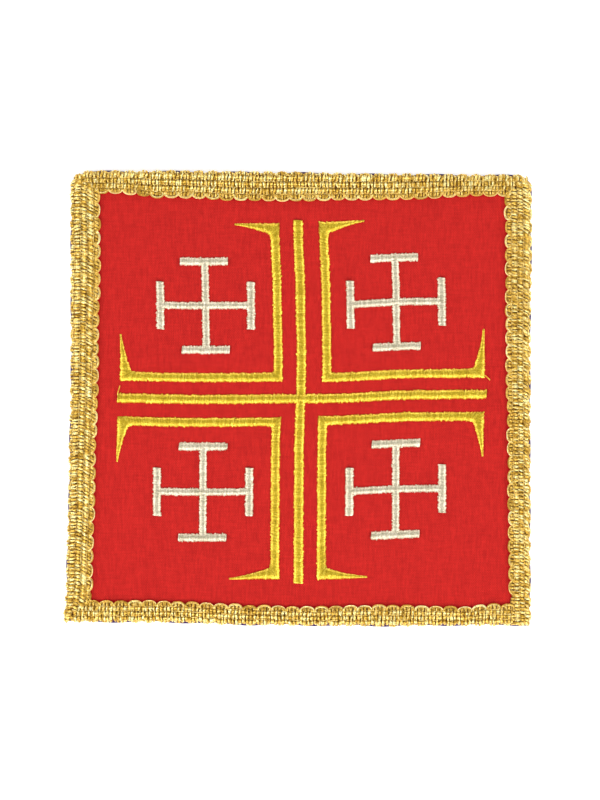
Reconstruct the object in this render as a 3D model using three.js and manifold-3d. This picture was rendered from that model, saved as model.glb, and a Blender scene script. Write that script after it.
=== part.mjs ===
import * as THREE from "three";
import { mergeVertices } from "three/addons/utils/BufferGeometryUtils.js";
import Module from "manifold-3d";

// A chalice pall lying face up: a square of red cloth on a violet reverse, edged with scalloped gold
// braid and embroidered with a cross, four brackets and four small crosses. Millimetres, +Z up.

// Layers, from the surface that the pall lies on upwards
const LAYER_GAP = 0.3;
const REVERSE_THICKNESS = 1.0;
const FACE_THICKNESS = 1.6;
const FACE_BOTTOM = REVERSE_THICKNESS + LAYER_GAP;
const FACE_TOP = FACE_BOTTOM + FACE_THICKNESS;
const TRIM_BOTTOM = FACE_TOP + LAYER_GAP;
const SOFT_EDGE = 0.4;
const REVERSE_SHOWS = 0.25;
const REVERSE_WAVE = 0.3;
const REVERSE_WAVE_LENGTH = 23;
const OUTLINE_STEPS = 14;
const CORNER_STEPS = 3;
const MERGE_DISTANCE = 1e-4;

// Braid: five cords side by side, scalloped along both edges and folded down over the cloth's rim
const BRAID_WIDTH = 11.4;
const BRAID_CORDS = 5;
const CORD_CREST = 1.2;
const CORD_GROOVE = 0.8;
const BRAID_LIP = 0.12;
const SCALLOP_STEPS = 3;
const INNER_SCALLOP = 1.5;
const OUTER_SCALLOP = 0.6;
const RIM_SCALLOP = 0.8;
const SCALLOP_MEAN = 0.58;
const FOLD_INSIDE = 0.35;
const FOLD_OUTSIDE = FOLD_INSIDE + CORD_CREST;
const FOLD_ARC = (Math.PI / 2) * (FOLD_INSIDE + CORD_CREST / 2);
const FOLD_CENTRE_Z = TRIM_BOTTOM - FOLD_INSIDE;
const SHORTEST_DROP = 0.3;
const LONGEST_DROP = 1.15;
const CLOTH_INSET = FOLD_OUTSIDE + RIM_SCALLOP * SCALLOP_MEAN;
const MITRE_SHIFT = 0.22;
const MITRE_ANGLES = [45, 22.5, 0];
const TRIM_MARGIN = 3;
const TRIM_HEIGHT = 12;

// The four sides, counter-clockwise from the bottom right corner, where the braid's two ends meet.
// turn is the way a side faces, corner the rounding where it ends, and pitch and phase place its
// scallops. Each row gives the braid's outer edge from the middle of the pall and the width of braid
// that shows from above.
const SIDES = [
  {
    name: "right",
    turn: 0,
    corner: 4.8,
    pitch: 4.94,
    phase: -0.8,
    rows: [
      { along: -81, edge: 82.0, face: 7.3 },
      { along: -60, edge: 82.0, face: 7.7 },
      { along: -20, edge: 82.1, face: 8.1 },
      { along: 20, edge: 82.3, face: 8.8 },
      { along: 60, edge: 82.9, face: 9.4 },
      { along: 81, edge: 82.8, face: 9.7 },
    ],
  },
  {
    name: "top",
    turn: 90,
    corner: 6.6,
    pitch: 4.96,
    phase: -1.1,
    rows: [
      { along: -82, edge: 79.9, face: 7.6 },
      { along: -64, edge: 80.1, face: 7.8 },
      { along: -29, edge: 80.4, face: 9.5 },
      { along: 14, edge: 81.1, face: 10.5 },
      { along: 50, edge: 81.5, face: 9.6 },
      { along: 66, edge: 81.5, face: 8.3 },
      { along: 82, edge: 81.4, face: 7.8 },
    ],
  },
  {
    name: "left",
    turn: 180,
    corner: 1.6,
    pitch: 4.94,
    phase: -0.3,
    rows: [
      { along: -81, edge: 82.2, face: 10.5 },
      { along: -50, edge: 82.0, face: 10.6 },
      { along: -10, edge: 81.8, face: 9.8 },
      { along: 30, edge: 82.4, face: 9.5 },
      { along: 65, edge: 83.1, face: 9.2 },
      { along: 80, edge: 84.0, face: 8.5 },
    ],
  },
  {
    name: "bottom",
    turn: 270,
    corner: 1.0,
    pitch: 5.09,
    phase: 0,
    rows: [
      { along: -83, edge: 79.7, face: 7.6 },
      { along: -50, edge: 79.8, face: 7.6 },
      { along: -14, edge: 80.8, face: 7.0 },
      { along: 4, edge: 81.0, face: 6.6 },
      { along: 32, edge: 81.2, face: 7.5 },
      { along: 57, edge: 80.9, face: 6.5 },
      { along: 69, edge: 80.9, face: 7.6 },
      { along: 82, edge: 80.9, face: 7.6 },
    ],
  },
];
const BUTTED_CORNER = 3;

// Embroidery: raised satin columns, and the way the stitched lines wander on the cloth
const STITCH_HEIGHT = 0.7;
const STITCH_SHOULDER = 0.3;
const STITCH_STEP = 9;
const CROSS_ARMS = { left: 65.2, right: 66.4, top: 63.8, bottom: 65.5, upright: 3.35, crossbar: 3.25 };
const LIMB_WIDTH = 3.1;
const SPIKE_ROOT = 4.6;
const SPIKE_POINT = 0.7;
const SPIKE_STEPS = 6;
const SPIKE_HOLLOW = { along: 0.3, across: 0.32 };
const BRACKETS = [
  {
    name: "top_left", right: -1, up: 1,
    limbX: 8.3, limbY: 7.75, endX: 64.6, endY: 62.8, tipX: 22.5, tipY: 22.8,
  },
  {
    name: "top_right", right: 1, up: 1,
    limbX: 9.1, limbY: 7.5, endX: 65.4, endY: 63.2, tipX: 23.5, tipY: 23.4,
  },
  {
    name: "bottom_left", right: -1, up: -1,
    limbX: 8.4, limbY: 8.2, endX: 65.0, endY: 64.1, tipX: 24.5, tipY: 22.6,
  },
  {
    name: "bottom_right", right: 1, up: -1,
    limbX: 8.1, limbY: 7.85, endX: 65.6, endY: 64.3, tipX: 24.1, tipY: 22.1,
  },
];
const CROSSLET = { stem: 2.55, bar: 2.8, barLength: 17.0 };
const CROSSLETS = [
  { name: "top_left", x: -33.9, y: 33.5, reachX: 16.2, reachY: 15.8 },
  { name: "top_right", x: 34.1, y: 33.3, reachX: 16.3, reachY: 15.9 },
  { name: "bottom_left", x: -34.1, y: -33.0, reachX: 16.4, reachY: 16.2 },
  { name: "bottom_right", x: 34.5, y: -33.4, reachX: 16.5, reachY: 16.2 },
];
const RISE_ROWS = [
  { x: -66, rise: 0.0 },
  { x: -36, rise: -0.5 },
  { x: 7, rise: -0.2 },
  { x: 43, rise: 1.2 },
  { x: 66, rise: 1.3 },
];
const DRIFT_ROWS = [
  { y: -65, drift: -0.55 },
  { y: -25, drift: -0.4 },
  { y: 14, drift: 0.5 },
  { y: 35, drift: 0.2 },
  { y: 63, drift: -0.7 },
];

const COLOURS = {
  redCloth: { color: 0xd42a26, roughness: 0.9, metalness: 0 },
  violetCloth: { color: 0x4a2a66, roughness: 0.9, metalness: 0 },
  goldBraid: { color: 0xcda34f, roughness: 0.42, metalness: 0.6 },
  goldThread: { color: 0xdcbc30, roughness: 0.4, metalness: 0.1 },
  silverThread: { color: 0xdccfae, roughness: 0.4, metalness: 0.1 },
};

const wasm = await Module();
wasm.setup();

// Value of one column of a table, eased between the two rows on either side of a place
function tableValue(rows, place, column, at) {
  const clamped = THREE.MathUtils.clamp(at, rows[0][place], rows.at(-1)[place]);
  const next = Math.max(1, rows.findIndex((row) => row[place] >= clamped));
  const before = rows[next - 1];
  const after = rows[next];
  const blend = THREE.MathUtils.smoothstep(clamped, before[place], after[place]);
  return THREE.MathUtils.lerp(before[column], after[column], blend);
}

// A closed skin over rings of points; the two end rings are capped through their flat outlines
function closedSkin(rings, firstFlat, lastFlat) {
  const count = rings[0].length;
  const faces = [];
  for (let ring = 0; ring + 1 < rings.length; ring += 1) {
    for (let point = 0; point < count; point += 1) {
      const here = ring * count + point;
      const beside = ring * count + ((point + 1) % count);
      faces.push(here, beside, beside + count);
      faces.push(here, beside + count, here + count);
    }
  }
  const lastStart = (rings.length - 1) * count;
  for (const [a, b, c] of THREE.ShapeUtils.triangulateShape(firstFlat, [])) {
    faces.push(c, b, a);
  }
  for (const [a, b, c] of THREE.ShapeUtils.triangulateShape(lastFlat, [])) {
    faces.push(lastStart + a, lastStart + b, lastStart + c);
  }
  const geometry = new THREE.BufferGeometry();
  const positions = rings.flat().flatMap((point) => point.toArray());
  geometry.setAttribute("position", new THREE.Float32BufferAttribute(positions, 3));
  geometry.setIndex(faces);
  return geometry;
}

// A flat piece stacked up from levels, each an outline at its own height
function stackedPiece(levels) {
  const rings = levels.map(({ outline, z }) => outline.map(({ x, y }) => new THREE.Vector3(x, y, z)));
  return closedSkin(rings, levels[0].outline, levels.at(-1).outline);
}

function solidOf(geometry) {
  const bare = geometry.clone();
  bare.deleteAttribute("normal");
  bare.deleteAttribute("uv");
  const merged = mergeVertices(bare, MERGE_DISTANCE);
  const vertProperties = new Float32Array(merged.attributes.position.array);
  const triVerts = new Uint32Array(merged.index.array);
  return new wasm.Manifold(new wasm.Mesh({ numProp: 3, vertProperties, triVerts }));
}

function geometryOf(solid) {
  const mesh = solid.getMesh();
  const geometry = new THREE.BufferGeometry();
  geometry.setAttribute("position", new THREE.Float32BufferAttribute(mesh.vertProperties, 3));
  geometry.setIndex(Array.from(mesh.triVerts));
  return geometry;
}

// Directions of a side: outwards across the braid, and along it counter-clockwise
function sideAxes(side) {
  const angle = THREE.MathUtils.degToRad(side.turn);
  const out = new THREE.Vector2(Math.round(Math.cos(angle)), Math.round(Math.sin(angle)));
  return { out, along: new THREE.Vector2(-out.y, out.x) };
}

function sidePoint(side, along, out) {
  const axes = sideAxes(side);
  return axes.along.multiplyScalar(along).addScaledVector(axes.out, out);
}

function sideAt(index) {
  return SIDES[(index + SIDES.length) % SIDES.length];
}

// Where a side starts and ends: at the outer edges of its two neighbours
function sideSpan(index) {
  return { start: -sideAt(index - 1).rows.at(-1).edge, end: sideAt(index + 1).rows[0].edge };
}

// The pall's outline, drawn in from the braid's outer edge, with its corners rounded
function clothOutline(inset, wave) {
  return SIDES.flatMap((side, index) => {
    const span = sideSpan(index);
    const startCorner = sideAt(index - 1).corner;
    const from = span.start + inset + startCorner;
    const to = span.end - inset - side.corner;
    const edgeAt = (along) => {
      const ripple = wave * Math.sin((2 * Math.PI * along) / REVERSE_WAVE_LENGTH + side.turn);
      return tableValue(side.rows, "along", "edge", along) - inset + ripple;
    };
    const points = [];
    for (let step = 0; step <= OUTLINE_STEPS; step += 1) {
      const along = THREE.MathUtils.lerp(from, to, step / OUTLINE_STEPS);
      points.push(sidePoint(side, along, edgeAt(along)));
    }
    for (let step = 1; step < CORNER_STEPS; step += 1) {
      const angle = (Math.PI / 2) * (step / CORNER_STEPS);
      const along = to + side.corner * Math.sin(angle);
      points.push(sidePoint(side, along, edgeAt(to) - side.corner * (1 - Math.cos(angle))));
    }
    return points;
  });
}

function reverseCloth() {
  const rim = clothOutline(REVERSE_SHOWS, REVERSE_WAVE);
  const softRim = clothOutline(REVERSE_SHOWS + SOFT_EDGE, REVERSE_WAVE);
  return stackedPiece([
    { outline: softRim, z: 0 },
    { outline: rim, z: REVERSE_THICKNESS / 2 },
    { outline: softRim, z: REVERSE_THICKNESS },
  ]);
}

function faceCloth() {
  const rim = clothOutline(CLOTH_INSET, 0);
  const softRim = clothOutline(CLOTH_INSET + SOFT_EDGE, 0);
  return stackedPiece([
    { outline: softRim, z: FACE_BOTTOM },
    { outline: rim, z: FACE_BOTTOM + SOFT_EDGE },
    { outline: rim, z: FACE_TOP - SOFT_EDGE },
    { outline: softRim, z: FACE_TOP },
  ]);
}

// Section of the braid at one place: crests and grooves of its cords, laid flat and then over the rim
function braidSection(side, along) {
  const bulge = Math.abs(Math.sin((Math.PI * (along - side.phase)) / side.pitch)) - SCALLOP_MEAN;
  const edge = tableValue(side.rows, "along", "edge", along);
  const face = tableValue(side.rows, "along", "face", along);
  const level = face - FOLD_OUTSIDE;
  const drop = THREE.MathUtils.clamp(BRAID_WIDTH - level - FOLD_ARC, SHORTEST_DROP, LONGEST_DROP);
  const width = level + FOLD_ARC + drop;
  const laid = [{ across: -INNER_SCALLOP * bulge, height: BRAID_LIP }];
  for (let cord = 0; cord < BRAID_CORDS; cord += 1) {
    laid.push({ across: (width * (cord + 0.5)) / BRAID_CORDS, height: CORD_CREST });
    laid.push({ across: (width * (cord + 1)) / BRAID_CORDS, height: CORD_GROOVE });
  }
  laid.pop();
  laid.push({ across: width + OUTER_SCALLOP * bulge, height: BRAID_LIP });
  laid.push({ across: level + FOLD_ARC / 2, height: BRAID_LIP });
  const foldOut = edge + RIM_SCALLOP * bulge - FOLD_OUTSIDE;
  return laid.map(({ across, height }) => {
    const angle = THREE.MathUtils.clamp((across - level) / FOLD_ARC, 0, 1) * (Math.PI / 2);
    const radius = FOLD_INSIDE + height;
    const past = Math.max(0, across - level - FOLD_ARC);
    const short = Math.min(0, across - level);
    const out = foldOut + short + radius * Math.sin(angle);
    return new THREE.Vector2(FOLD_CENTRE_Z + radius * Math.cos(angle) - past, out);
  });
}

// A run's mitred end with its rounded corner, as (along, out) points from inside the pall outwards.
// sign is -1 where a run starts and 1 where it ends.
function mitredEnd({ along, row, neighbourRow, radius, sign, far }) {
  const outer = new THREE.Vector2(along, row.edge);
  const inner = new THREE.Vector2(along - sign * neighbourRow.face, row.edge - row.face);
  const inwards = inner.clone().sub(outer).setLength(TRIM_MARGIN).add(inner);
  const arc = MITRE_ANGLES.map((degrees) => {
    const angle = THREE.MathUtils.degToRad(degrees);
    const reach = along - sign * radius * (1 - Math.sin(angle));
    return new THREE.Vector2(reach, row.edge - radius * (1 - Math.cos(angle)));
  });
  const beyond = new THREE.Vector2(along - sign * radius, far);
  return [inwards, ...arc, beyond].map((point) => point.setX(point.x - sign * MITRE_SHIFT));
}

// A run's square end, cut straight across
function squareEnd({ along, row, far }) {
  const inner = row.edge - row.face - TRIM_MARGIN;
  return [new THREE.Vector2(along, inner), new THREE.Vector2(along, far)];
}

// The ground that one run of braid covers, seen from above
function runGround(index) {
  const side = SIDES[index];
  const before = sideAt(index - 1);
  const after = sideAt(index + 1);
  const span = sideSpan(index);
  const far = Math.max(...side.rows.map((row) => row.edge)) + TRIM_MARGIN;
  const start = { along: span.start, row: side.rows[0], far, sign: -1 };
  const end = { along: span.end, row: side.rows.at(-1), far, sign: 1 };
  const startPoints = before === SIDES[BUTTED_CORNER]
    ? squareEnd(start)
    : mitredEnd({ ...start, neighbourRow: before.rows.at(-1), radius: before.corner });
  const buttAlong = span.end - after.rows[0].face - INNER_SCALLOP / 2 - LAYER_GAP;
  const endPoints = index === BUTTED_CORNER
    ? squareEnd({ ...end, along: buttAlong })
    : mitredEnd({ ...end, neighbourRow: after.rows[0], radius: side.corner });
  return [...startPoints, ...endPoints.reverse()].map(({ x, y }) => sidePoint(side, x, y));
}

// One run of braid along a side, trimmed to its ground at both corners
function braidRun(index) {
  const side = SIDES[index];
  const span = sideSpan(index);
  const scallops = Math.ceil((span.end - span.start) / side.pitch / 2) + 1;
  const rings = [];
  const flats = [];
  for (let step = -scallops * SCALLOP_STEPS; step <= scallops * SCALLOP_STEPS; step += 1) {
    const along = side.phase + (step * side.pitch) / SCALLOP_STEPS;
    const section = braidSection(side, along);
    if (THREE.ShapeUtils.area(section) < 0) {
      section.reverse();
    }
    flats.push(section);
    rings.push(section.map((point) => {
      const place = sidePoint(side, along, point.y);
      return new THREE.Vector3(place.x, place.y, point.x);
    }));
  }
  const strip = closedSkin(rings, flats[0], flats.at(-1));
  const options = { depth: TRIM_HEIGHT, bevelEnabled: false };
  const ground = new THREE.ExtrudeGeometry(new THREE.Shape(runGround(index)), options);
  ground.translate(0, 0, -TRIM_HEIGHT / 2);
  return geometryOf(solidOf(strip).intersect(solidOf(ground)));
}

// Straight edges of an outline cut into short steps, so that a stitched piece can follow the cloth
function steppedOutline(corners) {
  return corners.flatMap((corner, index) => {
    const next = corners[(index + 1) % corners.length];
    const steps = Math.max(1, Math.round(corner.distanceTo(next) / STITCH_STEP));
    return Array.from({ length: steps }, (_, step) => corner.clone().lerp(next, step / steps));
  });
}

// An outline drawn in by a distance all round
function drawnIn(outline, distance) {
  return outline.map((point, index) => {
    const before = outline.at(index - 1);
    const after = outline[(index + 1) % outline.length];
    const arriving = point.clone().sub(before).normalize();
    const leaving = after.clone().sub(point).normalize();
    const inward = new THREE.Vector2(-arriving.y - leaving.y, arriving.x + leaving.x);
    return inward.multiplyScalar(distance / (1 + arriving.dot(leaving))).add(point);
  });
}

// A flat design point as it lies on the cloth
function layOnCloth(point) {
  const drift = tableValue(DRIFT_ROWS, "y", "drift", point.y);
  const rise = tableValue(RISE_ROWS, "x", "rise", point.x);
  return new THREE.Vector2(point.x + drift, point.y + rise);
}

function stitchedPiece(corners) {
  const ordered = THREE.ShapeUtils.area(corners) < 0 ? [...corners].reverse() : corners;
  const outline = steppedOutline(ordered);
  const rim = outline.map(layOnCloth);
  const crown = drawnIn(outline, STITCH_SHOULDER).map(layOnCloth);
  return stackedPiece([
    { outline: rim, z: TRIM_BOTTOM },
    { outline: rim, z: TRIM_BOTTOM + STITCH_HEIGHT / 2 },
    { outline: crown, z: TRIM_BOTTOM + STITCH_HEIGHT },
  ]);
}

function crossCorners() {
  const { left, right, top, bottom } = CROSS_ARMS;
  const halfUpright = CROSS_ARMS.upright / 2;
  const halfBar = CROSS_ARMS.crossbar / 2;
  return [
    [right, -halfBar],
    [right, halfBar],
    [halfUpright, halfBar],
    [halfUpright, top],
    [-halfUpright, top],
    [-halfUpright, halfBar],
    [-left, halfBar],
    [-left, -halfBar],
    [-halfUpright, -halfBar],
    [-halfUpright, -bottom],
    [halfUpright, -bottom],
    [halfUpright, -halfBar],
  ].map(([x, y]) => new THREE.Vector2(x, y));
}

// Points of a limb's pointed end, from its blunt tip back to the limb along a hollow curve
function spikeCurve(limbEdge, limbEnd, tip) {
  const length = tip - limbEdge;
  const root = new THREE.Vector2(limbEdge, limbEnd - SPIKE_ROOT);
  const hollow = new THREE.Vector2(
    limbEdge + SPIKE_HOLLOW.along * length,
    limbEnd - SPIKE_HOLLOW.across * SPIKE_ROOT,
  );
  const point = new THREE.Vector2(tip, limbEnd - SPIKE_POINT);
  return new THREE.QuadraticBezierCurve(point, hollow, root).getPoints(SPIKE_STEPS);
}

// An L of two limbs around one quarter of the cross, each limb ending in a spike turned away from it
function bracketCorners(bracket) {
  const half = LIMB_WIDTH / 2;
  const { limbX, limbY, endX, endY, tipX, tipY } = bracket;
  const upperSpike = spikeCurve(limbX + half, endY, tipX);
  const sideSpike = spikeCurve(limbY + half, endX, tipY).map(({ x, y }) => new THREE.Vector2(y, x));
  const corners = [
    new THREE.Vector2(limbX - half, limbY - half),
    new THREE.Vector2(limbX - half, endY),
    new THREE.Vector2(tipX, endY),
    ...upperSpike,
    new THREE.Vector2(limbX + half, limbY + half),
    ...sideSpike.reverse(),
    new THREE.Vector2(endX, tipY),
    new THREE.Vector2(endX, limbY - half),
  ];
  return corners.map(({ x, y }) => new THREE.Vector2(x * bracket.right, y * bracket.up));
}

// A small cross with a bar across the end of each arm: one arm's outline, turned to all four sides
function crossletCorners(place) {
  const stemHalf = CROSSLET.stem / 2;
  const barHalf = CROSSLET.bar / 2;
  const endHalf = CROSSLET.barLength / 2;
  const centre = new THREE.Vector2();
  const reaches = [place.reachX, place.reachY, place.reachX, place.reachY];
  return reaches.flatMap((reach, turn) => {
    const arm = [
      [reach - barHalf, stemHalf],
      [reach - barHalf, endHalf],
      [reach + barHalf, endHalf],
      [reach + barHalf, -endHalf],
      [reach - barHalf, -endHalf],
      [reach - barHalf, -stemHalf],
      [stemHalf, -stemHalf],
    ];
    const angle = (-turn * Math.PI) / 2;
    return arm.map(([x, y]) => new THREE.Vector2(x, y).rotateAround(centre, angle).add(place));
  });
}

const pall = new THREE.Group();

function addPiece(name, geometry, colour) {
  const mesh = new THREE.Mesh(geometry, new THREE.MeshStandardMaterial(colour));
  mesh.name = name;
  pall.add(mesh);
}

addPiece("reverse_cloth", reverseCloth(), COLOURS.violetCloth);
addPiece("face_cloth", faceCloth(), COLOURS.redCloth);
SIDES.forEach((side, index) => addPiece(`braid_${side.name}`, braidRun(index), COLOURS.goldBraid));
addPiece("gold_cross", stitchedPiece(crossCorners()), COLOURS.goldThread);
for (const bracket of BRACKETS) {
  addPiece(`gold_bracket_${bracket.name}`, stitchedPiece(bracketCorners(bracket)), COLOURS.goldThread);
}
for (const place of CROSSLETS) {
  addPiece(`silver_cross_${place.name}`, stitchedPiece(crossletCorners(place)), COLOURS.silverThread);
}

// The origin is under the middle of the pall's outer box, on the surface that it lies on
const middle = new THREE.Box3().setFromObject(pall).getCenter(new THREE.Vector3());
pall.position.set(-middle.x, -middle.y, 0);

export default pall;
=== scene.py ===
import math

import bpy
import numpy as np
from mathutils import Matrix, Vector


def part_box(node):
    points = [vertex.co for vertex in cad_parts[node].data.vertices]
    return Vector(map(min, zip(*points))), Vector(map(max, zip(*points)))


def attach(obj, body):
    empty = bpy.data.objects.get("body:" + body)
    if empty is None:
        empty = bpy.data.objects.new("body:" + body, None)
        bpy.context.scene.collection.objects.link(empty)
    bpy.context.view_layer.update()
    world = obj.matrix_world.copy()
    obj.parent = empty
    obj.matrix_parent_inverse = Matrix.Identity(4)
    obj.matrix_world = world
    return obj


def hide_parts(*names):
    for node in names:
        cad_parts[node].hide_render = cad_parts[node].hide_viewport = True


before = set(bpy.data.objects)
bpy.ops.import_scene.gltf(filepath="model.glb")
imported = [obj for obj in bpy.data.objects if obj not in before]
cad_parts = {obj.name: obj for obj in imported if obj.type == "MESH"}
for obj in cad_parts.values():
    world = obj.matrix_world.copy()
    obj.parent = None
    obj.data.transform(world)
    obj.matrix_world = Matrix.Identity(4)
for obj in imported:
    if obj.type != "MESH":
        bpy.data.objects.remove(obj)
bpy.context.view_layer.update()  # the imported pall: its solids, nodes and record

mm = 0.001
rng = np.random.default_rng(7)
print("pall frame loaded")

# Heights and outline of the pall, in mm. A side turns this many degrees from the right one and ends in a
# corner of this radius. Its scallops have a pitch and a phase, and the turns on each of its cords a lean.
# squareEnd is -1 where the run starts square. A row is a place along the side, the outer edge there and the
# width of braid seen.
heights = {
    "reverseTop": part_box("reverse_cloth")[1][2] / mm,
    "faceBottom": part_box("face_cloth")[0][2] / mm,
    "faceTop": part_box("face_cloth")[1][2] / mm,
    "trimBottom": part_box("gold_cross")[0][2] / mm,
}
sides = {
    "right": {"turn": 0, "corner": 4.8, "pitch": 4.94, "phase": -0.8, "squareEnd": -1,
              "lean": (-0.1, -0.15, -0.3, -0.55, -0.55), "rows": [
        (-81, 82.0, 7.3), (-60, 82.0, 7.7), (-20, 82.1, 8.1),
        (20, 82.3, 8.8), (60, 82.9, 9.4), (81, 82.8, 9.7)]},
    "top": {"turn": 90, "corner": 6.6, "pitch": 4.96, "phase": -1.1, "squareEnd": 0,
            "lean": (-0.1, -0.15, 0.0, -0.15, 0.1), "rows": [
        (-82, 79.9, 7.6), (-64, 80.1, 7.8), (-29, 80.4, 9.5),
        (14, 81.1, 10.5), (50, 81.5, 9.6), (66, 81.5, 8.3), (82, 81.4, 7.8)]},
    "left": {"turn": 180, "corner": 1.6, "pitch": 4.94, "phase": -0.3, "squareEnd": 0,
             "lean": (-0.55, -0.55, -0.3, 0.1, 0.1), "rows": [
        (-81, 82.2, 10.5), (-50, 82.0, 10.6), (-10, 81.8, 9.8),
        (30, 82.4, 9.5), (65, 83.1, 9.2), (80, 84.0, 8.5)]},
    "bottom": {"turn": 270, "corner": 1.0, "pitch": 5.09, "phase": 0.0, "squareEnd": 0,
               "lean": (0.0, -0.1, 0.0, 0.1, 0.1), "rows": [
        (-83, 79.7, 7.6), (-50, 79.8, 7.6), (-14, 80.8, 7.0),
        (4, 81.0, 6.6), (32, 81.2, 7.5), (57, 80.9, 6.5), (69, 80.9, 7.6), (82, 80.9, 7.6)]},
}
sideNames = list(sides)


def smoothBetween(low, high, value):
    part = np.clip((value - low) / (high - low), 0, 1)
    return part * part * (3 - 2 * part)


# value of a table's column, eased between its rows
def tableValue(rows, column, at):
    rows = np.asarray(rows, float)
    at = np.clip(at, rows[0, 0], rows[-1, 0])
    i = np.clip(np.searchsorted(rows[:, 0], at) - 1, 0, len(rows) - 2)
    blend = smoothBetween(rows[i, 0], rows[i + 1, 0], at)
    return rows[i, column] + (rows[i + 1, column] - rows[i, column]) * blend


def edgeAt(side, along):
    return tableValue(sides[side]["rows"], 1, along)


def faceAt(side, along):
    return tableValue(sides[side]["rows"], 2, along)


def sideAxes(side):
    angle = math.radians(sides[side]["turn"])
    out = np.array([round(math.cos(angle)), round(math.sin(angle)), 0.0])
    return out, np.array([-out[1], out[0], 0.0])


def neighbour(side, step):
    return sideNames[(sideNames.index(side) + step) % 4]


# where a side starts and ends: at its neighbours' outer edges
def sideSpan(side):
    before, after = sides[neighbour(side, -1)], sides[neighbour(side, 1)]
    return -before["rows"][-1][1], after["rows"][0][1]


# Embroidery laid on the cloth, in mm from the middle of the pall
stitching = {
    "pitch": 0.41,        # from one thread to the next
    "threadWide": 0.29,   # half width of a thread
    "threadHigh": 0.09,
    "uneven": 0.15,       # wandering of a thread from its place, as a share of the pitch
    "lift": 0.62,         # crown of a full column above the cloth
    "profile": [          # place across a column and height there, from the cloth to the crown
        (0.0, -0.4), (0.02, 0.2), (0.13, 0.57), (0.25, 0.92), (0.5, 1.0),
        (0.75, 0.92), (0.87, 0.57), (0.98, 0.2), (1.0, -0.4)],
    "ragged": 0.13,       # unevenness of the ends
    "raggedFrom": 3,      # length of thread from which its ends are that uneven
    "liftShare": 0.28,    # crown of a narrow column, as a share of its width
    "liftJitter": 0.05,
    "knotSpacing": 8,     # between the knots of a straight column
    "tailThick": 0.16, "tailSteps": 16,
    "crease": 70,         # edges sharper than this, in degrees, part one thread from the next
    "rise": [(-66, 0.0), (-36, -0.5), (7, -0.2), (43, 1.2), (66, 1.3)],
    "drift": [(-65, -0.55), (-25, -0.4), (14, 0.5), (35, 0.2), (63, -0.7)],
}
goldCross = {"left": 65.2, "right": 66.4, "top": 63.8, "bottom": 65.5, "upright": 3.35, "crossbar": 3.25,
             "raised": 0.12}  # the crossbar, over the upright
bracketShape = {
    "limb": 3.1, "root": 4.6, "point": 0.5, "hollow": 1.35, "spikeKnots": 8,
    "spikeOver": 0.9, "spikeFull": 0.85, "spikeSlant": 0.6,  # where a spike's knots end, at its root
    "fanOut": 0.1, "fanEnd": (0.9, 0.8), "elbowRoom": (0.4, 0.7),
}
brackets = {
    "top_left": {"right": -1, "up": 1, "limb": (8.3, 7.75), "end": (64.6, 62.8), "tip": (22.5, 22.8)},
    "top_right": {"right": 1, "up": 1, "limb": (9.1, 7.5), "end": (65.4, 63.2), "tip": (23.5, 23.4)},
    "bottom_left": {"right": -1, "up": -1, "limb": (8.4, 8.2), "end": (65.0, 64.1), "tip": (24.5, 22.6)},
    "bottom_right": {"right": 1, "up": -1, "limb": (8.1, 7.85), "end": (65.6, 64.3), "tip": (24.1, 22.1)},
}
crosslet = {"stem": 2.55, "bar": 2.8, "barLength": 17.0, "stemRaised": 0.1, "barRaised": 0.08}
crosslets = {
    "top_left": {"centre": (-33.9, 33.5), "reach": (16.2, 15.8)},
    "top_right": {"centre": (34.1, 33.3), "reach": (16.3, 15.9)},
    "bottom_left": {"centre": (-34.1, -33.0), "reach": (16.4, 16.2)},
    "bottom_right": {"centre": (34.5, -33.4), "reach": (16.5, 16.2)},
}


# a design point as it lies on the cloth, wandering with the weave
def layOnCloth(points):
    laid = np.array(points, float)
    laid[..., 0] = points[..., 0] + tableValue(stitching["drift"], 1, points[..., 1])
    laid[..., 1] = points[..., 1] + tableValue(stitching["rise"], 1, points[..., 0])
    return laid


# The solids stand on the middle of their own box; the gold cross tells how far that is from the design's
def frameShift():
    half = goldCross["upright"] / 2, goldCross["crossbar"] / 2
    ends = np.array([
        [goldCross["right"], half[1]], [goldCross["right"], -half[1]],
        [-goldCross["left"], half[1]], [-goldCross["left"], -half[1]],
        [half[0], goldCross["top"]], [-half[0], goldCross["top"]],
        [half[0], -goldCross["bottom"]], [-half[0], -goldCross["bottom"]]])
    laid = layOnCloth(ends)
    low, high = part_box("gold_cross")
    solid = (np.array(low)[:2] + np.array(high)[:2]) / 2 / mm
    return np.append(solid - (laid.min(0) + laid.max(0)) / 2, 0.0)


shift = frameShift()
print("design sits", np.round(shift, 3), "mm from the frame's middle")


# Mesh helpers. A part is a dictionary of points, quads, uv, tone and slot.
endCaps = {4: [[0, 1, 2, 3]], 6: [[0, 1, 2, 3], [0, 3, 4, 5]]}  # quads that close a strand of 4 or 6 sides


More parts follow.
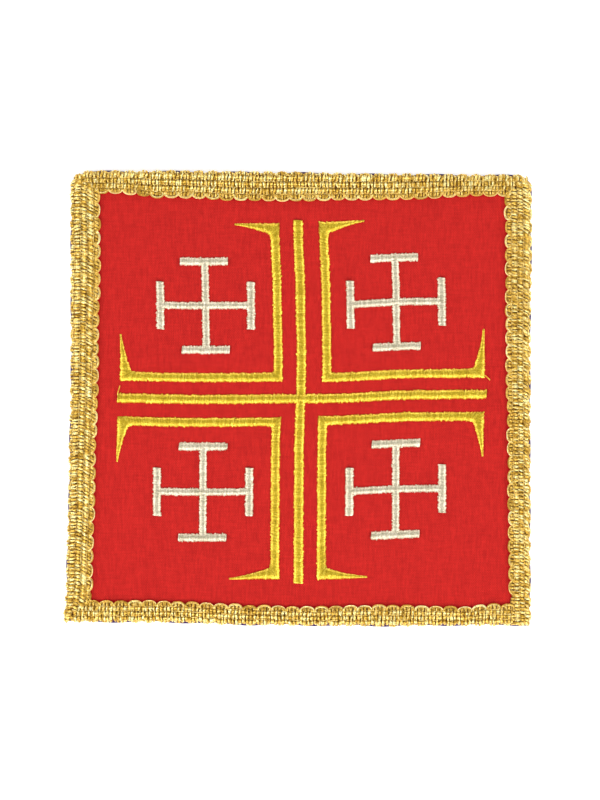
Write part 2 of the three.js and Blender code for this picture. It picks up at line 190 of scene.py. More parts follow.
# strands along paths that all have as many steps; points and normals are (strand, step, xyz)
def strands(points, normals, wide, high, tone=None, closed=False, strandSides=6):
    count, steps = points.shape[:2]
    tone = rng.random(count) if tone is None else tone
    if closed:
        tangent = np.roll(points, -1, 1) - np.roll(points, 1, 1)
    else:
        tangent = np.gradient(points, axis=1)
    tangent /= np.linalg.norm(tangent, axis=2, keepdims=True) + 1e-12
    sideways = np.cross(tangent, normals)
    sideways /= np.linalg.norm(sideways, axis=2, keepdims=True) + 1e-12
    upwards = np.cross(sideways, tangent)
    turn = 2 * np.pi * np.arange(strandSides) / strandSides
    wide = np.broadcast_to(wide, (count, steps))[..., None, None]
    high = np.broadcast_to(high, (count, steps))[..., None, None]
    ring = (sideways[:, :, None] * np.cos(turn)[:, None] * wide
            + upwards[:, :, None] * np.sin(turn)[:, None] * high + points[:, :, None])
    number = np.arange(count * steps * strandSides).reshape(count, steps, strandSides)
    after = np.roll(number, -1, 1) if closed else number[:, 1:]
    here = number if closed else number[:, :-1]
    around = np.roll(here, -1, 2)
    afterAround = np.roll(after, -1, 2)
    quads = np.stack([here, after, afterAround, around], -1).reshape(-1, 4)
    travel = np.linalg.norm(np.diff(points, axis=1, append=points[:, :1]), axis=2)
    length = np.concatenate([np.zeros((count, 1)), np.cumsum(travel, 1)], 1)
    spans = here.shape[1]
    u0 = np.repeat(length[:, :spans, None], strandSides, 2)
    u1 = np.repeat(length[:, 1:spans + 1, None], strandSides, 2)
    v0 = np.broadcast_to(np.arange(strandSides) / strandSides, u0.shape)
    v1 = v0 + 1 / strandSides
    uv = np.stack([np.stack([u0, v0], -1), np.stack([u1, v0], -1),
                   np.stack([u1, v1], -1), np.stack([u0, v1], -1)], 3).reshape(-1, 4, 2)
    if not closed:
        first, last = number[:, 0], number[:, -1]
        caps = np.concatenate([first[:, quad] for quad in endCaps[strandSides]]
                              + [last[:, quad[::-1]] for quad in endCaps[strandSides]])
        quads = np.concatenate([quads, caps])
        uv = np.concatenate([uv, np.zeros((len(caps), 4, 2))])
    tone = np.repeat(tone, steps * strandSides)
    return {"points": ring.reshape(-1, 3), "quads": quads, "uv": uv, "tone": tone, "slot": 0}


# closed sheet between two grids of points, rows along +Y and columns along +X
def sheetBetween(top, bottom, slot=0):
    rows, cols = top.shape[:2]
    number = np.arange(rows * cols).reshape(rows, cols)
    upper = np.stack([number[:-1, :-1], number[:-1, 1:], number[1:, 1:], number[1:, :-1]], -1)
    upper = upper.reshape(-1, 4)
    rim = np.concatenate([number[0, :-1], number[:-1, -1], number[-1, :0:-1], number[:0:-1, 0]])
    nextRim = np.roll(rim, -1)
    under = rows * cols
    walls = np.stack([rim + under, nextRim + under, nextRim, rim], -1)
    quads = np.concatenate([upper, upper[:, ::-1] + under, walls])
    points = np.concatenate([top.reshape(-1, 3), bottom.reshape(-1, 3)])
    uv = points[quads][..., :2]
    return {"points": points, "quads": quads, "uv": uv, "tone": np.full(len(points), 0.5), "slot": slot}


# joins parts, in mm in the design's frame, into one object that stands for a CAD node
def makePiece(name, parts, materials, node, crease=180):
    starts = np.cumsum([0] + [len(p["points"]) for p in parts])
    points = np.concatenate([p["points"] for p in parts])
    quads = np.concatenate([p["quads"] + start for p, start in zip(parts, starts)])
    mesh = bpy.data.meshes.new(name)
    mesh.vertices.add(len(points))
    mesh.vertices.foreach_set("co", ((points + shift) * mm).ravel())
    mesh.loops.add(quads.size)
    mesh.loops.foreach_set("vertex_index", quads.ravel())
    mesh.polygons.add(len(quads))
    mesh.polygons.foreach_set("loop_start", np.arange(len(quads)) * 4)
    slots = np.concatenate([np.full(len(p["quads"]), p["slot"]) for p in parts])
    mesh.polygons.foreach_set("material_index", slots)
    mesh.update(calc_edges=True)
    mesh.shade_smooth()
    mesh.set_sharp_from_angle(angle=math.radians(crease))
    strandMap = mesh.uv_layers.new(name="strand")
    strandMap.data.foreach_set("uv", np.concatenate([p["uv"] for p in parts]).ravel())
    toneMap = mesh.attributes.new("tone", "FLOAT", "POINT")
    toneMap.data.foreach_set("value", np.concatenate([p["tone"] for p in parts]))
    for material in materials:
        mesh.materials.append(material)
    mesh.validate()
    piece = bpy.data.objects.new(name, mesh)
    bpy.context.scene.collection.objects.link(piece)
    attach(piece, "root")
    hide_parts(node)
    print(name, "has", len(quads) * 2, "triangles")
    return piece


# Material helpers
def newMaterial(name):
    material = bpy.data.materials.new(name)
    material.use_nodes = True
    tree = material.node_tree
    return material, tree, tree.nodes["Principled BSDF"]


def addNode(tree, kind, **inputs):
    made = tree.nodes.new("ShaderNode" + kind)
    for key, value in inputs.items():
        if hasattr(made, key):
            setattr(made, key, value)
        else:
            made.inputs[key].default_value = value
    return made


def mathNode(tree, operation, first, second=None):
    made = tree.nodes.new("ShaderNodeMath")
    made.operation = operation
    for socket, value in zip(made.inputs, (first, second)):
        if value is None:
            continue
        if isinstance(value, (int, float)):
            socket.default_value = value
        else:
            tree.links.new(value, socket)
    return made.outputs[0]


def rampNode(tree, value, stops):
    made = tree.nodes.new("ShaderNodeValToRGB")
    ramp = made.color_ramp
    while len(ramp.elements) < len(stops):
        ramp.elements.new(0.5)
    for element, (place, colour) in zip(ramp.elements, stops):
        element.position = place
        element.color = (*colour, 1)
    tree.links.new(value, made.inputs[0])
    return made.outputs[0]


# sRGB 0-255 to the linear colour that Blender works in
def colour(r, g, b):
    shares = (r / 255, g / 255, b / 255)
    return tuple(c / 12.92 if c <= 0.04045 else ((c + 0.055) / 1.055) ** 2.4 for c in shares)


# plain-woven cloth: warp and weft threads in relief, with slubs along both; where a thread dips under the
# other its colour is darker, painted shade of the weave
def wovenCloth(name, look):
    material, tree, shader = newMaterial(name)
    place = addNode(tree, "TexCoord").outputs["Object"]
    wobble = addNode(tree, "TexNoise", Scale=look["wobbleScale"], Detail=2.0)
    tree.links.new(place, wobble.inputs["Vector"])
    bend = addNode(tree, "VectorMath", operation="MULTIPLY_ADD")
    tree.links.new(wobble.outputs["Color"], bend.inputs[0])
    bend.inputs[1].default_value = [look["wobble"] * mm] * 3
    tree.links.new(place, bend.inputs[2])
    parts = addNode(tree, "SeparateXYZ")
    tree.links.new(bend.outputs[0], parts.inputs[0])
    waves = []
    for axis, spacing in ((0, look["warp"]), (1, look["weft"])):
        turn = mathNode(tree, "MULTIPLY", parts.outputs[axis], 2 * math.pi / (spacing * mm))
        waves.append(mathNode(tree, "SINE", turn))
    over = mathNode(tree, "MULTIPLY", *waves)
    slubs = []
    for stretch in ((1, look["slubStretch"], 1), (look["slubStretch"], 1, 1)):
        scaled = addNode(tree, "Mapping")
        scaled.inputs["Scale"].default_value = [s * look["slubScale"] for s in stretch]
        tree.links.new(place, scaled.inputs["Vector"])
        noise = addNode(tree, "TexNoise", Scale=1.0, Detail=3.0, Roughness=0.65)
        tree.links.new(scaled.outputs[0], noise.inputs["Vector"])
        slubs.append(noise.outputs["Fac"])
    slub = mathNode(tree, "ADD", mathNode(tree, "MULTIPLY", slubs[0], look["warpSlub"]),
                    mathNode(tree, "MULTIPLY", slubs[1], 1 - look["warpSlub"]))
    thread = mathNode(tree, "MULTIPLY_ADD", over, 0.5)
    thread.node.inputs[2].default_value = 0.5
    # colour from the slubs, mixed with painted shade where the weave's threads dip under
    slubsAndWeaveShade = mathNode(tree, "ADD", mathNode(tree, "MULTIPLY", slub, 1 - look["paintedWeaveShade"]),
                     mathNode(tree, "MULTIPLY", thread, look["paintedWeaveShade"]))
    tree.links.new(rampNode(tree, slubsAndWeaveShade, look["stops"]), shader.inputs["Base Color"])
    height = mathNode(tree, "ADD", over, mathNode(tree, "MULTIPLY", slub, look["slubHeight"]))
    bump = addNode(tree, "Bump", Strength=look["relief"], Distance=look["reliefDepth"] * mm)
    tree.links.new(height, bump.inputs["Height"])
    tree.links.new(bump.outputs[0], shader.inputs["Normal"])
    shader.inputs["Roughness"].default_value = look["roughness"]
    shader.inputs["Specular IOR Level"].default_value = look["specular"]
    shader.inputs["Sheen Weight"].default_value = look["sheen"]
    shader.inputs["Sheen Roughness"].default_value = look["sheenRoughness"]
    return material


# thread or yarn: each strand has its own tone, with a fine twist wound along it
def yarn(name, look):
    material, tree, shader = newMaterial(name)
    tone = addNode(tree, "Attribute", attribute_name="tone").outputs["Fac"]
    place = addNode(tree, "TexCoord").outputs["Object"]
    patch = addNode(tree, "TexNoise", Scale=look["patchScale"], Detail=2.0)
    tree.links.new(place, patch.inputs["Vector"])
    mixed = mathNode(tree, "ADD", mathNode(tree, "MULTIPLY", tone, look["toneShare"]),
                     mathNode(tree, "MULTIPLY", patch.outputs["Fac"], 1 - look["toneShare"]))
    tree.links.new(rampNode(tree, mixed, look["stops"]), shader.inputs["Base Color"])
    strandMap = addNode(tree, "UVMap", uv_map="strand")
    parts = addNode(tree, "SeparateXYZ")
    tree.links.new(strandMap.outputs[0], parts.inputs[0])
    alongYarn = mathNode(tree, "MULTIPLY", parts.outputs[0], 1 / look["twist"])
    turns = mathNode(tree, "ADD", alongYarn, parts.outputs[1])
    wound = mathNode(tree, "SINE", mathNode(tree, "MULTIPLY", turns, 2 * math.pi))
    bump = addNode(tree, "Bump", Strength=look["relief"], Distance=look["reliefDepth"] * mm)
    tree.links.new(wound, bump.inputs["Height"])
    tree.links.new(bump.outputs[0], shader.inputs["Normal"])
    shader.inputs["Metallic"].default_value = look["metallic"]
    shader.inputs["Roughness"].default_value = look["roughness"]
    shader.inputs["Specular IOR Level"].default_value = look["specular"]
    shader.inputs["Coat Weight"].default_value = look["coat"]
    shader.inputs["Coat Roughness"].default_value = look["roughness"]
    return material


redLook = {
    "warp": 0.62, "weft": 0.58, "wobble": 0.5, "wobbleScale": 160, "slubScale": 1900, "slubStretch": 0.13,
    "slubHeight": 1.2, "relief": 0.8, "reliefDepth": 0.12, "sheen": 0.03, "paintedWeaveShade": 0.4,
    "warpSlub": 0.6, "roughness": 0.85, "specular": 0.12, "sheenRoughness": 0.5,
    "stops": [(0.39, colour(153, 19, 17)), (0.5, colour(184, 29, 25)), (0.61, colour(212, 41, 35))],
}
violetLook = dict(
    redLook, stops=[(0.36, colour(52, 30, 74)), (0.5, colour(66, 38, 92)), (0.64, colour(84, 54, 112))])
braidLook = {
    "patchScale": 2200, "toneShare": 0.35, "twist": 0.55, "relief": 0.8, "reliefDepth": 0.08,
    "metallic": 1.0, "roughness": 0.28, "specular": 0.5, "coat": 0.0,
    "stops": [(0.3, colour(184, 142, 48)), (0.5, colour(238, 200, 98)), (0.7, colour(255, 249, 186))],
}
# the braid's gold made darker and duller: painted shade for the ground that shows between the turns
braidGroundShadeLook = dict(
    braidLook, metallic=0.5, roughness=0.55,
    stops=[(0.2, colour(106, 66, 26)), (0.5, colour(132, 88, 36)), (0.8, colour(158, 112, 50))])
goldLook = {
    "patchScale": 2000, "toneShare": 0.2, "twist": 0.3, "relief": 0.3, "reliefDepth": 0.04,
    "metallic": 0.6, "roughness": 0.28, "specular": 0.6, "coat": 0.3,
    "stops": [(0.3, colour(178, 142, 12)), (0.5, colour(215, 181, 27)), (0.7, colour(249, 224, 80))],
}
silverLook = dict(
    goldLook, metallic=0.5, stops=[
        (0.3, colour(172, 164, 132)), (0.5, colour(208, 197, 168)), (0.7, colour(238, 230, 208))])
redCloth = wovenCloth("redCloth", redLook)
violetCloth = wovenCloth("violetCloth", violetLook)
goldBraid = yarn("goldBraid", braidLook)
braidGroundShade = yarn("braidGroundShade", braidGroundShadeLook)
goldThread = yarn("goldThread", goldLook)
silverThread = yarn("silverThread", silverLook)
print("cloths and yarns mixed")


# Satin columns. Knots pair a point on one side of a column with a point on the other.
def satinColumn(knots, raised=0.0):
    knots = np.asarray(knots, float)
    starts, ends = [], []
    for (a0, b0), (a1, b1) in zip(knots[:-1], knots[1:]):
        span = max(np.linalg.norm(a1 - a0), np.linalg.norm(b1 - b0))  # no gaps on the open side of a fan
        count = max(1, round(span / stitching["pitch"]))
        part = (np.arange(count) + rng.normal(0, stitching["uneven"], count))[:, None] / count
        starts.append(a0 + (a1 - a0) * part)
        ends.append(b0 + (b1 - b0) * (part + 0.5 / count))
    starts, ends = np.concatenate(starts), np.concatenate(ends)
    across = ends - starts
    length = np.linalg.norm(across, axis=1, keepdims=True)
    across = across / (length + 1e-9)
    ragged = stitching["ragged"] * np.minimum(1, length / stitching["raggedFrom"])
    starts = starts - across * rng.normal(0, 1, length.shape) * ragged
    ends = ends + across * rng.normal(0, 1, length.shape) * ragged
    place, profile = np.array(stitching["profile"]).T
    flat = starts[:, None] + (ends - starts)[:, None] * place[None, :, None]
    flat = layOnCloth(flat)
    lift = np.minimum(stitching["lift"], stitching["liftShare"] * length)
    lift = lift * (1 + rng.normal(0, stitching["liftJitter"], length.shape)) + raised
    z = heights["faceTop"] + lift * profile
    points = np.concatenate([flat, z[..., None]], 2)
    tangent = np.gradient(points, axis=1)
    along = np.stack([-across[:, 1], across[:, 0], np.zeros(len(across))], 1)[:, None]
    normals = np.cross(tangent, np.broadcast_to(along, tangent.shape))
    normals *= np.where(normals[..., 2:] < 0, -1, 1)
    return strands(points, normals, stitching["threadWide"], stitching["threadHigh"], strandSides=4)


def straightColumn(start, end, width, raised=0.0):
    start, end = np.array(start, float), np.array(end, float)
    along = (end - start) / np.linalg.norm(end - start)
    half = np.array([-along[1], along[0]]) * width / 2
    count = max(2, round(np.linalg.norm(end - start) / stitching["knotSpacing"]))
    middles = [start + (end - start) * t for t in np.linspace(0, 1, count)]
    return satinColumn([(middle - half, middle + half) for middle in middles], raised)


# loose ends of thread that the machine left, as points over the cloth
threadTails = {
    "gold_cross": [[(-64.9, 0.9, 0.3), (-64.9, 1.8, 0.7), (-64.6, 2.8, 0.7), (-64.3, 3.9, 0.4),
                    (-64.2, 4.4, 0.1)]],
    "top_right": [[(65.2, 8.4, 0.3), (66.2, 7.8, 0.6), (67.0, 7.1, 0.5), (67.7, 6.4, 0.1)]],
}


def tailStrands(name):
    tails = []
    for tail in threadTails.get(name, []):
        rough = np.array(tail)
        place = np.linspace(0, len(rough) - 1, stitching["tailSteps"])
        points = np.stack([np.interp(place, np.arange(len(rough)), rough[:, k]) for k in range(3)], 1)
        points[1:-1] = (points[:-2] + 2 * points[1:-1] + points[2:]) / 4
        points[:, 2] += heights["faceTop"]
        up = np.broadcast_to([0.0, 0.0, 1.0], points.shape)
        thick = stitching["tailThick"]
        tails.append(strands(points[None], up[None], thick, thick, np.array([1.0])))
    return tails


def makeGoldCross():
    c = goldCross
    parts = [
        straightColumn((0, -c["bottom"]), (0, c["top"]), c["upright"]),
        straightColumn((-c["left"], 0), (c["right"], 0), c["crossbar"], raised=c["raised"]),
    ]
    return makePiece("goldCross", parts + tailStrands("gold_cross"), [goldThread],
                     "gold_cross", stitching["crease"])


# Half of a bracket in its own quarter: from the spike's tip round the limb's end to the elbow.
# The first point of a knot is on the side that faces the cross.
def bracketHalf(limb, otherLimb, end, tip):
    b = bracketShape
    half = b["limb"] / 2
    root, point = b["root"], b["point"]
    outer, inner = limb + half, limb - half
    innerRoom, outerRoom = b["elbowRoom"]
    knots = []
    for t in np.linspace(0, 1, b["spikeKnots"]):
        x = tip + (outer + b["spikeOver"] - tip) * t
        thick = point + (root * b["spikeFull"] - point) * t ** b["hollow"]
        knots.append(((x, end), (x - b["spikeSlant"] * t, end - thick)))
    knots.append(((inner, end), (outer + b["fanOut"], end - root)))
    knots.append(((inner, end - root * b["fanEnd"][0]), (outer, end - root - b["fanEnd"][1])))
    knots.append(((inner, (end + otherLimb) / 2), (outer, (end + otherLimb) / 2)))
    knots.append(((inner, otherLimb + half + innerRoom), (outer, otherLimb + half + outerRoom)))
    return knots


def makeBracket(name, b):
    half = bracketShape["limb"] / 2
    upper = bracketHalf(b["limb"][0], b["limb"][1], b["end"][1], b["tip"][0])
    sideways = bracketHalf(b["limb"][1], b["limb"][0], b["end"][0], b["tip"][1])
    elbow = [((b["limb"][0] - half, b["limb"][1] - half), (b["limb"][0] + half, b["limb"][1] + half))]
    turned = [((a[1], a[0]), (c[1], c[0])) for a, c in sideways]
    knots = np.array(upper + elbow + turned[::-1]) * [b["right"], b["up"]]
    return makePiece("goldBracket_" + name, [satinColumn(knots)] + tailStrands(name), [goldThread],
                     "gold_bracket_" + name, stitching["crease"])


def makeCrosslet(name, place):
    x, y = place["centre"]
    reachX, reachY = place["reach"]
    halfBar = crosslet["barLength"] / 2
    parts = [
        straightColumn((x, y - reachY), (x, y + reachY), crosslet["stem"]),
        straightColumn((x - reachX, y), (x + reachX, y), crosslet["stem"], raised=crosslet["stemRaised"]),
    ]
    for sign in (-1, 1):
        parts.append(straightColumn((x - halfBar, y + sign * reachY), (x + halfBar, y + sign * reachY),
                                    crosslet["bar"], crosslet["barRaised"]))
        parts.append(straightColumn((x + sign * reachX, y - halfBar), (x + sign * reachX, y + halfBar),
                                    crosslet["bar"], crosslet["barRaised"]))
    return makePiece("silverCross_" + name, parts, [silverThread],
                     "silver_cross_" + name, stitching["crease"])


embroidery = [makeGoldCross()]
embroidery += [makeBracket(name, b) for name, b in brackets.items()]
embroidery += [makeCrosslet(name, place) for name, place in crosslets.items()]
print("embroidery stitched")


# The braid: five cords side by side, wrapped by short turns of yarn, with a ring of yarn in each scallop
braid = {
    "width": 11.4, "cords": 5,
    "rimScallop": 0.8, "rimFrom": 2.5, "scallopMean": 0.58,   # swing of the outer edge with the scallops
    "foldInside": 0.35, "crestSolid": 1.2, "dropRange": (0.3, 1.15), "seat": 0.2,   # fold over the rim
    "mitreGap": -0.35, "buttGap": -0.8, "startGap": 0.3,   # room at the ends of the runs
}
cordTurn = {
    "count": 8,   # turns of yarn on a cord to one scallop
    "places": np.array([-1, -0.72, -0.4, 0, 0.4, 0.72, 1]),   # across the cord
    "wide": 0.34, "taper": 0.48, "high": 0.25, "overlap": 0.08, "pairing": 0.1,
    "crest": 0.88, "foot": 0.02, "crown": 0.75, "jitter": 0.06, "leanJitter": 0.13, "liftJitter": 0.07,
    "fillDrop": 0.3, "fillWide": 0.82, "fillTone": 0.6, "fillEdge": 0.2, "fillScallop": 0.75,   # first cord
    "wallCord": 3, "wallTop": 3.7, "wallEnd": 1.2,   # outer cords that go on past the bottom run's butt
}
scallopRing = {
    "steps": 26, "along": 2.25, "tip": 0.05, "back": 2.5, "square": 0.85, "lean": 0.2,
    "ply": 0.18, "wide": 0.17, "crest": 0.6, "dive": 0.45, "dip": 0.22, "dipFrom": 0.6,
    "jitter": 0.1, "room": 0.8, "squareRoom": 11.0,
}
binder = {
    "wide": 0.13, "lift": 0.2, "swing": 0.18, "jitter": 0.05, "tone": 0.6, "room": 0.2,
    "floatChance": 0.06, "floatLift": 0.6, "floatSteps": 15,
}
ground = {
    "rows": 13, "edge": 0.55, "scallop": 1.2, "short": 0.3, "layers": (0.3, 0.05), "room": 0.25,
}
foldOutside = braid["foldInside"] + braid["crestSolid"]
foldArc = math.pi / 2 * (braid["foldInside"] + braid["crestSolid"] / 2)
foldCentreZ = heights["trimBottom"] - braid["foldInside"] - braid["seat"]


# 1 at the tip of a scallop, 0 in the notch between two
def scallopAt(side, along):
    return np.abs(np.sin(np.pi * (along - sides[side]["phase"]) / sides[side]["pitch"]))


def braidWidth(side, along):
    level = faceAt(side, along) - foldOutside
    return level + foldArc + np.clip(braid["width"] - level - foldArc, *braid["dropRange"])


# rounds the pall's outer corners: squares off the corner's box into a quarter circle
def roundCorners(points):
    for name in sideNames:
        after = neighbour(name, 1)
        edge, nextEdge = sides[name]["rows"][-1][1], sides[after]["rows"][0][1]
        corner = edge * sideAxes(name)[0] + nextEdge * sideAxes(after)[0]
        sign = np.sign(corner[:2])
        radius = sides[name]["corner"]
        inside = (points[..., :2] - corner[:2]) * sign + radius
        inCorner = (inside > 0).all(-1)
        pull = inside.max(-1) / (np.linalg.norm(inside, axis=-1) + 1e-9)
        moved = (inside * pull[..., None] - radius) * sign + corner[:2]
        points[..., :2] = np.where(inCorner[..., None], moved, points[..., :2])
    return points


# lays braid on the pall: across runs from its inner edge, height from its underside
def layBraid(side, along, across, height):
    out, forward = sideAxes(side)
    level = faceAt(side, along) - foldOutside
    angle = np.clip((across - level) / foldArc, 0, 1) * math.pi / 2
    past = np.maximum(0, across - level - foldArc)
    short = np.minimum(0, across - level)
    bulge = scallopAt(side, along) - braid["scallopMean"]
    rim = braid["rimScallop"] * bulge * smoothBetween(level - braid["rimFrom"], level + foldArc, across)
    radius = braid["foldInside"] + height
    reach = edgeAt(side, along) - foldOutside + short + radius * np.sin(angle) + rim
    points = along[..., None] * forward + reach[..., None] * out
    points[..., 2] = foldCentreZ + radius * np.cos(angle) - past
    normals = np.sin(angle)[..., None] * out
    normals[..., 2] = np.cos(angle)
    return roundCorners(points), normals, reach


# how far inside a run's two ends a place is, in mm along the run; negative is past the end
def insideEnds(side, along, reach):
    start, end = sideSpan(side)
    rows = sides[side]["rows"]
    before, after = sides[neighbour(side, -1)]["rows"][-1], sides[neighbour(side, 1)]["rows"][0]
    startLine = start + (rows[0][1] - reach) * before[2] / rows[0][2] + braid["mitreGap"]
    endLine = end - (rows[-1][1] - reach) * after[2] / rows[-1][2] - braid["mitreGap"]
    if side == "right":
        startLine = np.full_like(reach, start + braid["startGap"])
    if side == "bottom":
        endLine = np.full_like(reach, end - after[2] - braid["buttGap"])
    return np.minimum(along - startLine, endLine - along)


# short turns of yarn over one cord, from the groove on one side to the groove on the other
def cordTurns(side, cord, start, end):
    t = cordTurn
    place = t["places"]
    mid = len(place) // 2
    spacing = sides[side]["pitch"] / t["count"]
    number = np.arange(math.floor(start / spacing), math.ceil(end / spacing))
    centre = number * spacing + t["pairing"] * (-1.0) ** number
    centre = centre + rng.normal(0, t["jitter"], len(number))
    width = braidWidth(side, centre)
    cordWide = width / braid["cords"]
    middle = cordWide * (cord + 0.5) + rng.normal(0, t["jitter"], len(number))
    high = middle + cordWide / 2 + t["overlap"]
    low = middle - cordWide / 2 - t["overlap"]
    if cord == 0:
        low = t["fillEdge"] + t["fillScallop"] * (1 - scallopAt(side, centre))
    across = (low + high)[:, None] / 2 + place * (high - low)[:, None] / 2
    lean = sides[side]["lean"][cord] + rng.normal(0, t["leanJitter"], len(number))
    along = centre[:, None] + lean[:, None] * (across - middle[:, None])
    crest = t["crest"] + rng.normal(0, t["liftJitter"], len(number))
    wide = t["wide"] * (1 - t["taper"] * place ** 2)  # slim in the grooves, where the ground shows
    tone = rng.random(len(number))
    if cord == 0:
        crest = crest - t["fillDrop"]
        wide = wide * t["fillWide"]
        tone = tone * t["fillTone"]
    lift = t["foot"] + (crest[:, None] - t["foot"]) * np.cos(place * math.pi / 2) ** t["crown"]
    points, normals, reach = layBraid(side, along, across, lift)
    keep = insideEnds(side, centre, reach[:, mid]) > 0
    if side == "bottom" and cord >= t["wallCord"]:
        onWall = points[:, mid, 2] < t["wallTop"]
        keep = keep | ((centre > 0) & (centre < end - t["wallEnd"]) & onWall)
    return strands(points[keep], normals[keep], wide, t["high"], tone[keep])


# a ring of two yarns in each scallop, its back under the first cord
def scallopRings(side, start, end):
    r = scallopRing
    pitch, phase = sides[side]["pitch"], sides[side]["phase"]
    number = np.arange(math.floor(start / pitch), math.ceil(end / pitch))
    centre = np.repeat((number + 0.5) * pitch + phase, 2)
    ply = np.tile([-1.0, 1.0], len(centre) // 2)[:, None] * r["ply"]
    shake = np.repeat(rng.normal(0, r["jitter"], (len(centre) // 2, 2)), 2, 0)
    sweep = np.linspace(0, 2 * math.pi, r["steps"], endpoint=False)
    rise = np.sin(sweep)
    spread = np.sign(np.cos(sweep)) * np.abs(np.cos(sweep)) ** r["square"]
    middle = (r["tip"] + r["back"]) / 2
    across = middle - (middle - r["tip"] + ply) * rise + shake[:, 1:]
    lean = sides[side]["lean"][0] * r["lean"]
    along = centre[:, None] + (r["along"] + ply) * spread + shake[:, :1]
    along = along - lean * (across - middle)
    lift = r["crest"] - r["dive"] * np.maximum(0, across - middle)
    lift = lift - r["dip"] * smoothBetween(r["dipFrom"], 1.0, rise)
    points, normals, reach = layBraid(side, along, across, lift)
    square = centre * sides[side]["squareEnd"] > 0  # a square end has no rings
    room = np.where(square, r["squareRoom"], r["room"])
    keep = insideEnds(side, centre, reach.mean(1)) > room
    tone = rng.random(len(centre[keep]))
    return strands(points[keep], normals[keep], r["wide"], cordTurn["high"], tone, closed=True)


# thin threads along the grooves, over some turns and under the next, now and then floating over several
def braidBinders(side, start, end):
    spacing = sides[side]["pitch"] / cordTurn["count"] * 2
    parts = []
    along = np.arange(start, end, spacing / 3)
    for line in range(1, braid["cords"]):
        width = braidWidth(side, along)
        across = width * line / braid["cords"] + rng.normal(0, binder["jitter"], len(along))
        swing = np.sin(np.pi * along / spacing + line * math.pi)
        starts = rng.random(len(along)) < binder["floatChance"] / 3
        floats = np.convolve(starts, np.hanning(binder["floatSteps"]), "same").clip(0, 1)
        lift = cordTurn["foot"] + binder["lift"] + binder["swing"] * swing * (1 - floats)
        lift = lift + binder["floatLift"] * floats
        points, normals, reach = layBraid(side, along, across, lift)
        keep = insideEnds(side, along, reach) > binder["room"]
        tone = np.array([binder["tone"]])
        parts.append(strands(points[keep][None], normals[keep][None], binder["wide"], binder["wide"], tone))
    return parts


# dark ground under the turns, its darkness painted shade, drawn in from the rings and ended at the corners
def braidBacking(side, start, end):
    along = np.arange(start, end + 1, sides[side]["pitch"] / 6)
    bulge = scallopAt(side, along) - braid["scallopMean"]
    width = braidWidth(side, along)
    part = np.linspace(0, 1, ground["rows"])[:, None]
    inner = ground["edge"] - ground["scallop"] * bulge
    across = inner + (width - ground["short"] - inner) * part
    line = np.broadcast_to(along, across.shape)
    layers = []
    for height in ground["layers"]:
        lift = np.full(across.shape, height)
        reach = layBraid(side, line, across, lift)[2]
        inside = insideEnds(side, line, reach) - ground["room"]
        pulled = np.where(inside < 0, line + inside * np.sign(line), line)
        layers.append(layBraid(side, pulled, across, lift)[0])
    # slot 1 takes the ground's material, coloured in painted shade
    return sheetBetween(layers[0][::-1], layers[1][::-1], slot=1)


def makeBraidRun(side):
    start, end = sideSpan(side)
    parts = [cordTurns(side, cord, start, end) for cord in range(braid["cords"])]
    parts.append(scallopRings(side, start, end))
    parts += braidBinders(side, start, end)
    parts.append(braidBacking(side, start, end))
    return makePiece("braidRun_" + side, parts, [goldBraid, braidGroundShade], "braid_" + side)


braidRuns = [makeBraidRun(side) for side in sideNames]
print("braid laid along four sides")


# The cloths
faceSheet = {"inset": 2.0, "rows": 124, "rimDrop": 0.9, "rimWide": 1.6, "underDrop": 0.3, "ripple": 0.05}
reverseSheet = {"inset": 0.05, "rows": 90, "rimDrop": 0.35, "rimWide": 0.8, "underDrop": 0.4,
                "wave": 0.35, "waveLength": 23}
sheetGrid = {"gather": 1.2, "sideHalf": 80}  # crowding of the rows at the rim, and half a side


# grid over the pall's uneven outline, drawn in from the braid's edge
def outlineGrid(count, inset, wave=0.0, waveLength=20.0):
    gather, half = sheetGrid["gather"], sheetGrid["sideHalf"]
    spread = np.sin(np.linspace(-1, 1, count) * gather) / math.sin(gather)
    u, v = np.meshgrid(spread, spread)

    def edge(side, along):
        ripple = wave * np.sin(2 * np.pi * along / waveLength + sides[side]["turn"])
        return edgeAt(side, along) - inset + ripple

    left, right = -edge("left", -half * v), edge("right", half * v)
    low, high = -edge("bottom", half * u), edge("top", -half * u)
    x = left + (right - left) * (u + 1) / 2
    y = low + (high - low) * (v + 1) / 2
    rim = np.minimum(np.minimum(x - left, right - x), np.minimum(y - low, high - y))
    return roundCorners(np.stack([x, y, np.zeros_like(x)], 2)), rim


# soft unevenness from a few crossing waves: how fast each goes along x and y, and its phase
def softRipple(x, y, size):
    waves = [(0.31, 0.07, 0.4), (-0.09, 0.27, 1.7), (0.19, 0.23, 3.1), (0.47, -0.33, 5.0)]
    return size * sum(np.sin(a * x + b * y + c) for a, b, c in waves) / 2


def makeFaceCloth():
    s = faceSheet
    top, rim = outlineGrid(s["rows"], s["inset"])
    bottom = top.copy()
    drop = s["rimDrop"] * (1 - smoothBetween(0, s["rimWide"], rim))
    top[..., 2] = heights["faceTop"] - drop + softRipple(top[..., 0], top[..., 1], s["ripple"])
    bottom[..., 2] = heights["faceBottom"] + s["underDrop"] * drop
    return makePiece("faceCloth", [sheetBetween(top, bottom)], [redCloth], "face_cloth")


def makeReverseCloth():
    s = reverseSheet
    top, rim = outlineGrid(s["rows"], s["inset"], s["wave"], s["waveLength"])
    bottom = top.copy()
    drop = s["rimDrop"] * (1 - smoothBetween(0, s["rimWide"], rim))
    top[..., 2] = heights["reverseTop"] - drop
    bottom[..., 2] = drop * s["underDrop"]
    sheet = sheetBetween(top, bottom)
    return makePiece("reverseCloth", [sheet], [violetCloth], "reverse_cloth")


reverseCloth = makeReverseCloth()
faceCloth = makeFaceCloth()
print("cloths laid")

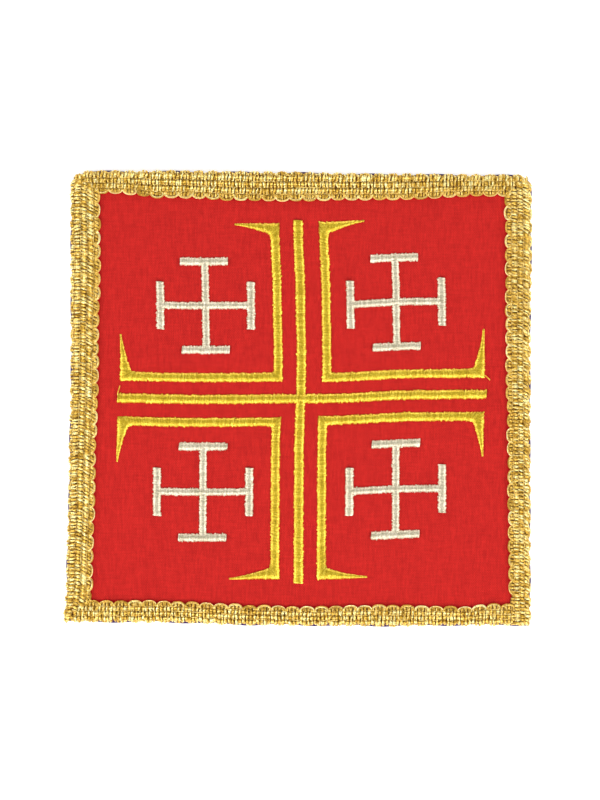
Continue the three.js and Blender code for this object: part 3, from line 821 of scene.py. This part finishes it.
# Studio: pale floor that glows a little, soft lights low all round, camera looking down
studio = {
    "floor": (0.86, 0.86, 0.855), "floorGlow": 0.45, "floorSize": 6.0, "floorDrop": 0.0002,
    "floorRoughness": 0.9, "floorSpecular": 0.1, "worldLight": 0.3,
    "lights": {  # direction in degrees, height above the floor in degrees, size in m, watts
        "left": (180, 24, 1.1, 26), "frontLeft": (226, 34, 1.1, 34), "front": (270, 32, 1.1, 16),
        "frontRight": (314, 34, 1.1, 34), "right": (0, 24, 1.1, 26), "rear": (90, 18, 1.2, 22),
    },
    "lightDistance": 2.4,
    "lens": 100, "sensor": 36, "tilt": 2.0,
    "picture": (600, 800), "mmPerPixel": 0.3564, "centrePixel": (300, 398),
}


def makeFloor():
    half = studio["floorSize"] / 2
    mesh = bpy.data.meshes.new("floor")
    corners = [(-half, -half, 0), (half, -half, 0), (half, half, 0), (-half, half, 0)]
    mesh.from_pydata(corners, [], [(0, 1, 2, 3)])
    floor = bpy.data.objects.new("floor", mesh)
    floor.location.z = -studio["floorDrop"]
    material, _, shader = newMaterial("paleFloor")
    shader.inputs["Base Color"].default_value = (*studio["floor"], 1)
    shader.inputs["Roughness"].default_value = studio["floorRoughness"]
    shader.inputs["Specular IOR Level"].default_value = studio["floorSpecular"]
    shader.inputs["Emission Color"].default_value = (1, 1, 1, 1)
    shader.inputs["Emission Strength"].default_value = studio["floorGlow"]
    mesh.materials.append(material)
    bpy.context.scene.collection.objects.link(floor)


def makeLights():
    world = bpy.data.worlds.new("studio")
    bpy.context.scene.world = world
    world.use_nodes = True
    world.node_tree.nodes["Background"].inputs["Color"].default_value = (1, 1, 1, 1)
    world.node_tree.nodes["Background"].inputs["Strength"].default_value = studio["worldLight"]
    for name, (turn, rise, size, watts) in studio["lights"].items():
        light = bpy.data.lights.new(name + "Light", "AREA")
        light.size = size
        light.energy = watts
        lamp = bpy.data.objects.new(name + "Light", light)
        a, e = math.radians(turn), math.radians(rise)
        lamp.location = [studio["lightDistance"] * c for c in
                         (math.cos(a) * math.cos(e), math.sin(a) * math.cos(e), math.sin(e))]
        lamp.rotation_euler = (math.pi / 2 - e, 0, a + math.pi / 2)
        bpy.context.scene.collection.objects.link(lamp)


def makeCamera():
    data = bpy.data.cameras.new("camera")
    data.lens = studio["lens"]
    data.sensor_width = studio["sensor"]
    camera = bpy.data.objects.new("camera", data)
    wide, tall = studio["picture"]
    scale = studio["mmPerPixel"] * mm
    distance = studio["lens"] / studio["sensor"] * tall * scale
    tilt = math.radians(studio["tilt"])
    pixelX, pixelY = studio["centrePixel"]
    aim = [shift[0] * mm + (wide / 2 - pixelX) * scale, shift[1] * mm + (pixelY - tall / 2) * scale]
    height = heights["faceTop"] * mm
    camera.location = (aim[0], aim[1] - distance * math.sin(tilt), height + distance * math.cos(tilt))
    camera.rotation_euler = (tilt, 0, 0)
    bpy.context.scene.collection.objects.link(camera)
    bpy.context.scene.camera = camera


makeFloor()
makeLights()
makeCamera()
bpy.context.scene.view_settings.view_transform = "Standard"
print("studio lit")
